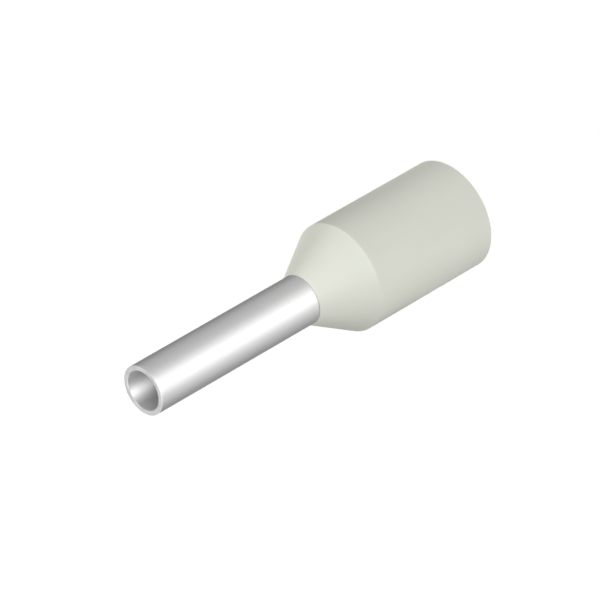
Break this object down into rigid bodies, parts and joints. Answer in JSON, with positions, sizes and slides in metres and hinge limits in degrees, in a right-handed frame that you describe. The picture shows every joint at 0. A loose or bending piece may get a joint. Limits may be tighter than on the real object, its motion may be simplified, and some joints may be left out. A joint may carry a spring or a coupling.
{
  "type": "wire ferrule",
  "caption": "Insulated wire ferrule: a thin metal tube, flared at its hidden end, gripped by a hollow plastic collar that tapers down to it.",
  "frame": {"origin": "centre of the collar's mouth face, on which the ferrule stands", "axes": "+Z along the ferrule's axis, from the collar's mouth to the open tip of the metal sleeve"},
  "size_m": [0.0032, 0.0032, 0.012],
  "materials": {
    "tinned_copper": "satin",
    "collar_plastic": "matte"
  },
  "bodies": {
    "root": {"contact_sleeve": "tinned_copper", "insulating_collar": "collar_plastic"}
  },
  "joints": []
}
